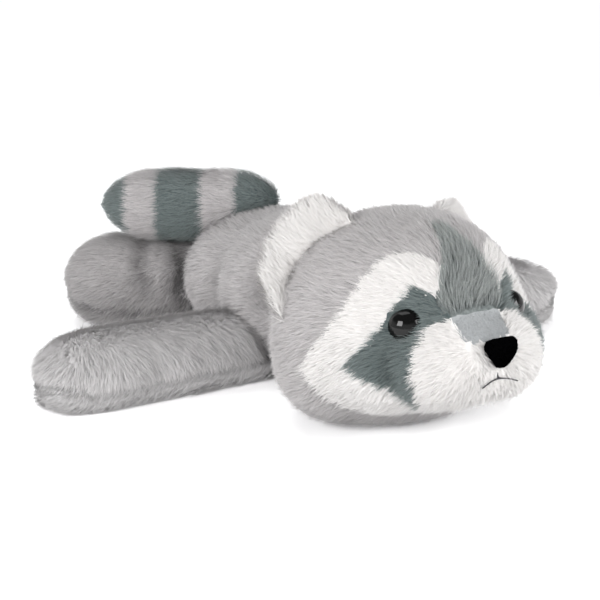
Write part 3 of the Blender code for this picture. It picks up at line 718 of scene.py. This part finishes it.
def shadow_of(part, roots, normals, kinds, seam_away, folds, others):
    """How much darker each strand is: painted shade where skins meet, along the limbs' seams, on the legs,
    under the jaw, on the face's mask and in folds, and darker towards the arms' ends.
    """
    shadow = np.zeros(len(roots))
    # Painted shade where the strands lie near another skin
    if part.startswith(("head", "torso", "arm", "leg")):
        shadow += CONTACT_SHADE * closeness(others, roots)
    # Painted shade along the front of the limbs' seams, where the pile overhangs them
    if part.startswith(("arm", "leg")):
        shadow += SEAM_SHADE * np.exp(-((seam_away / SEAM_REACH) ** 2)) * (normals[:, 1] < SEAM_NORMAL)
    if part.startswith("arm"):
        shadow += ARM_SHADE * np.clip((np.abs(roots[:, 0]) - ARM_SHADE_START) / ARM_SHADE_BLEND, 0, 1)
    # Painted shade over the legs, which lie further from the lights and under the tail, deepest towards
    # the foot by the floor
    if part.startswith("leg"):
        shadow += LEG_SHADE + LEG_FOOT_SHADE * np.clip(1 - roots[:, 2] / LEG_FOOT, 0, 1)
    # Painted shade under the jaw, deepest near the floor, with uneven dark gaps in its fringe
    if part == "head":
        jaw = np.clip(JAW_BLEND - roots[:, 2] / JAW_TOP, 0, 1) * (kinds == "body")
        gaps = np.abs(smooth_noise(roots, JAW_GAPS, 6)[:, 1])
        # The face's dark mask also gets painted shade
        shadow += jaw * (JAW_SHADE + JAW_GAP_SHADE * gaps) + MASK_SHADE * (kinds == "dark")
    # Painted shade in the folds
    if folds:
        depth = np.array([fold_depth(root, folds) for root in roots])
        shadow += FOLD_SHADE * np.minimum(depth / MM, DEEPEST_FOLD)
    return shadow


def limb_cut(part, normals, seam_away):
    """How short the pile is cut along a limb's seams and on an arm's back."""
    share, reach = SEAM_CUTS[part.split("_")[0]]
    cut = 1 - share * np.exp(-((seam_away / reach) ** 2))
    if part.startswith("arm"):
        cut *= np.where(normals[:, 1] > ARM_BACK_NORMAL, ARM_BACK_CUT, 1.0)
    return cut


def strands(part, surface, others):
    """Base, bend and tip of each strand, with the skin's normal, its lay and its row on the palette."""
    name, panels = part.name, surface.panels
    roots, normals = scattered(surface.skin.data, part.strands)
    clear = ~inside_of(others, roots)
    roots, normals = roots[clear], normals[clear]
    lay, length = lay_of(name, panels, roots, normals)

    # A strand takes the plush of the panel that its middle covers
    trim = np.minimum(trim_of(roots), trim_of(roots + lay * length[:, None]))
    shown = roots + lay * (length * trim)[:, None] * 0.5
    patches = smooth_noise(roots, PATCH, 5)[:, 0]
    rises = shown[:, 2] + RAGGED_EDGE * patches
    kinds = np.array([kind_of(panels.at(Vector(place)), rise) for place, rise in zip(shown, rises)])

    seam_away = np.array([surface.seams.find(Vector(root))[2] for root in roots])
    spread = np.array([PLUSH[kind].spread for kind in kinds])
    # A random tone per strand and in patches, less the painted shade where the strand lies
    shade = BASE_SHADE + spread * (RNG.normal(0, SHADE_SCATTER, len(roots)) + PATCH_SHADE * patches)
    shade -= shadow_of(name, roots, normals, kinds, seam_away, surface.folds, others)
    length = np.array([PLUSH[kind].length for kind in kinds])
    length *= np.where(kinds == "bridge", 1.0, trim) * RNG.uniform(*LENGTH_RANGE, len(roots))
    if name.startswith(("arm", "leg")):
        length *= limb_cut(name, normals, seam_away)

    rise = np.exp(RNG.normal(0, RISE_SCATTER, (len(roots), 1)))
    rise *= EAR_RISE if name.startswith("ear") else 1.0
    size = length[:, None]
    bend = roots + size * LOWER_LENGTH * unit(normals * LOWER_RISE * rise + lay * LOWER_LAY)
    tip = bend + size * UPPER_LENGTH * unit(normals * UPPER_RISE * rise + lay)
    for ends in (bend, tip):
        ends[:, 2] = np.maximum(ends[:, 2], FLOOR_LIFT)
    palette = kinds_of(part.outer)
    row = (np.array([palette.index(kind) for kind in kinds]) + np.clip(shade, *SHADE_RANGE)) / len(palette)
    return roots - normals * ROOT_DEPTH, bend, tip, normals, lay, row


def strand_mesh(name, points, tilt, row, row_width):
    """A mesh of strands, with their places on the palette and the normals that light them."""
    total, size, corners = len(points), len(STRAND_ALONG), len(STRAND_CORNERS)
    strand = np.arange(total)[:, None]
    mesh = bpy.data.meshes.new(name)
    mesh.vertices.add(total * size)
    mesh.vertices.foreach_set("co", points.reshape(-1))
    mesh.loops.add(total * corners)
    mesh.loops.foreach_set("vertex_index", (strand * size + STRAND_CORNERS).reshape(-1))
    mesh.polygons.add(total * 2)
    mesh.polygons.foreach_set("loop_start", (strand * corners + STRAND_FACES).reshape(-1))
    mesh.update(calc_edges=True)
    mesh.polygons.foreach_set("use_smooth", np.ones(total * 2, bool))
    layer = mesh.uv_layers.new(name="OFBake")
    along = np.tile(STRAND_ALONG[STRAND_CORNERS], (total, 1))
    rows = row[:, None] + STRAND_ACROSS[STRAND_CORNERS] * row_width
    layer.data.foreach_set("uv", np.stack([along, rows], axis=2).reshape(-1))
    mesh.normals_split_custom_set_from_vertices(np.repeat(tilt, size, axis=0))
    return mesh


def pile(part, surface, others):
    """A part's pile in pieces, each under the most triangles that one piece may have."""
    base, bend, tip, normals, lay, row = strands(part, surface, others)
    kinds, slot = kinds_of(part.outer), part.slot
    material = pile_material(part.name, kinds)
    side = unit(np.cross(lay, normals)) * STRAND_WIDTH / 2
    side *= RNG.uniform(*WIDTH_RANGE, (len(base), 1))
    points = np.stack([base - side, base + side, bend + side * TAPER, bend - side * TAPER, tip], axis=1)
    tilt = unit(normals + TILT_SCATTER * RNG.normal(0, 1, normals.shape) + TILT_LAY * lay)
    for number, start in enumerate(range(0, len(base), STRANDS_PER_PIECE)):
        name = f"pile_{part.name}_{number}"
        here = slice(start, start + STRANDS_PER_PIECE)
        mesh = strand_mesh(name, points[here], tilt[here], row[here], PALETTE_WIDTH / len(kinds))
        mesh.materials.append(material)
        piece = link(name, mesh)
        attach(piece, "root")


# The studio


def make_camera():
    data = bpy.data.cameras.new("camera")
    data.lens = LENS
    data.sensor_width = SENSOR
    data.clip_start = NEAREST_VIEW
    camera = link("camera", data)
    back = view_axes()[2]
    camera.location = VIEW_TARGET + back * VIEW_DISTANCE
    camera.rotation_mode = "QUATERNION"
    camera.rotation_quaternion = (-back).to_track_quat("-Z", "Y")
    bpy.context.scene.camera = camera


def make_softbox(name, way, distance, size, radiance):
    """A square area light that faces the object."""
    data = bpy.data.lights.new(name, "AREA")
    data.shape = "SQUARE"
    data.size = size
    data.energy = radiance * math.pi * size**2
    light = link(name, data)
    light.location = LIT_PLACE + Vector(way).normalized() * distance
    light.rotation_mode = "QUATERNION"
    light.rotation_quaternion = (-Vector(way)).to_track_quat("-Z", "Y")


def floor_material():
    """A pale floor, which direct views and reflections see brighter, and as plain white far out."""
    shader = Shader("floor", Roughness=0.9, Specular_IOR_Level=0.1)
    ray = shader.node("LightPath").outputs
    direct = shader.calculate("MAXIMUM", ray["Is Camera Ray"], ray["Is Glossy Ray"])
    seen = shader.calculate("MAXIMUM", direct, ray["Is Transmission Ray"])
    plain = shader.ramp(shader.noise(3), list(zip((0.3, 0.7), FLOOR_COLOURS)))
    lit = shader.mix(1.0, plain, (*grey(FLOOR_GAIN), 1), "MULTIPLY")
    place = shader.node("TexCoord").outputs["Object"]
    away = shader.node("VectorMath", {0: place}, operation="LENGTH").outputs["Value"]
    reach = {"Value": away, "From Min": FLOOR_NEAR, "From Max": FLOOR_FAR}
    far = shader.node("MapRange", reach).outputs["Result"]
    shader.link(shader.mix(seen, plain, shader.mix(far, lit, (0, 0, 0, 1))), "Base Color")
    shader.principled.inputs["Emission Color"].default_value = (1, 1, 1, 1)
    shader.link(shader.calculate("MULTIPLY", seen, far), "Emission Strength")
    return shader.material


def make_world():
    """White up to the top of a low wall all round, and dim above it."""
    world = bpy.data.worlds.new("studio")
    bpy.context.scene.world = world
    world.use_nodes = True
    tree = world.node_tree
    place = tree.nodes.new("ShaderNodeTexCoord")
    split = tree.nodes.new("ShaderNodeSeparateXYZ")
    ramp = tree.nodes.new("ShaderNodeValToRGB")
    tree.links.new(place.outputs["Generated"], split.inputs["Vector"])
    tree.links.new(split.outputs["Z"], ramp.inputs["Fac"])
    tree.links.new(ramp.outputs["Color"], tree.nodes["Background"].inputs["Color"])
    wall, above = ramp.color_ramp.elements
    wall.position, wall.color = WALL_TOP, (*grey(1), 1)
    above.position, above.color = DIM_ABOVE, (*grey(WORLD_LIGHT), 1)


def make_studio():
    make_world()
    for softbox in SOFTBOXES:
        make_softbox(*softbox)
    bm = bmesh.new()
    bmesh.ops.create_grid(bm, x_segments=2, y_segments=2, size=FLOOR_SIZE)
    floor = link("floor", mesh_from(bm, "floor"))
    floor.data.materials.append(floor_material())
    bpy.context.scene.view_settings.view_transform = "Standard"


# The face and the other hard pieces


def restuff(node, material):
    obj = NODES[node]
    obj.data.materials.clear()
    obj.data.materials.append(material)


def smooth_copy(node, name, levels, material, shift):
    """A CAD piece's shape with finer, rounder facets, set where the photograph shows it on the pile."""
    bm = bmesh.new()
    bm.from_mesh(NODES[node].data)
    bmesh.ops.remove_doubles(bm, verts=bm.verts, dist=MM / 50)
    mesh = mesh_from(bm, name)
    mesh.transform(Matrix.Translation(Vector(shift) * MM))
    piece = link(name, mesh)
    subdivision = piece.modifiers.new("round", "SUBSURF")
    subdivision.levels = levels
    subdivision.render_levels = levels
    piece.data.materials.append(material)
    for face in piece.data.polygons:
        face.use_smooth = True
    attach(piece, "root")
    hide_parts(node)
    return piece


def shape_nose(mesh):
    """Widens the nose's top and narrows its foot, squares its upper corners and roughens its flock."""
    places = np.array([vert.co for vert in mesh.vertices])
    low, high = Vector(places.min(axis=0)), Vector(places.max(axis=0))
    centre, half = (low + high) / 2, (high - low) / 2
    for vert, rough in zip(mesh.vertices, RNG.normal(0, NOSE_ROUGHNESS, (len(places), 3))):
        vert.co += Vector(rough)
    for vert in mesh.vertices:
        rise = (vert.co.z - centre.z) / half.z
        out = (vert.co.x - centre.x) / half.x
        lift = NOSE_CORNERS * out * out - NOSE_DIP * (1 - out * out)
        vert.co.x = centre.x + (vert.co.x - centre.x) * (1 + NOSE_FLARE * rise)
        vert.co.z += half.z * max(0.0, rise) * lift


def make_eyes(washer):
    gloss = thing_material("eye_gloss", grey(0.003), 0.1, 200, Roughness=0.05, Specular_IOR_Level=0.30)
    for label in ("left", "right"):
        smooth_copy(f"eye_{label}", f"eye_{label}_dome", 2, gloss, EYE_SHIFT)
        restuff(f"eye_{label}_washer", washer)


def make_nose(washer):
    matt = {"Roughness": 1.0, "Specular_IOR_Level": 0.0}
    flock = thing_material("nose_flock", (0.0012, 0.0012, 0.0014), 0.5, 2500, 0.8, **matt)
    nose = smooth_copy("nose", "nose_pad", 3, flock, NOSE_SHIFT)
    apply_modifiers(nose)
    shape_nose(nose.data)
    restuff("nose_washer", washer)


def make_mouth():
    thread = thing_material("thread", (0.03, 0.03, 0.035), 0.3, 1500, 0.4, Roughness=0.7)
    mouth = smooth_copy("mouth_thread", "mouth_stitch", 1, thread, NOSE_SHIFT)
    push(mouth.data, lambda vert: THREAD_THINNING)


def make_band():
    steel = thing_material("band_steel", (0.56, 0.57, 0.58), 0.05, 400, 0.05, Roughness=0.3, Metallic=1.0)
    restuff("slap_band", steel)
    cloth = thing_material("sleeve_cloth", (0.7, 0.7, 0.72), 0.1, 1200, 0.4, Roughness=0.9)
    restuff("band_sleeve", cloth)


# Making

make_camera()
make_studio()
BACKINGS = {kind: backing_material(kind) for kind in PLUSH}
surfaces = {part.name: padded_skin(part) for part in PARTS}
solids = {name: solid_of(surface.skin.data) for name, surface in surfaces.items()}
for part in PARTS:
    others = [solid for name, solid in solids.items() if name != part.name and not name.startswith("ear")]
    pile(part, surfaces[part.name], others)
WASHER = thing_material("washer", (0.75, 0.75, 0.72), 0.05, 300, Roughness=0.45)
make_eyes(WASHER)
make_nose(WASHER)
make_mouth()
make_band()
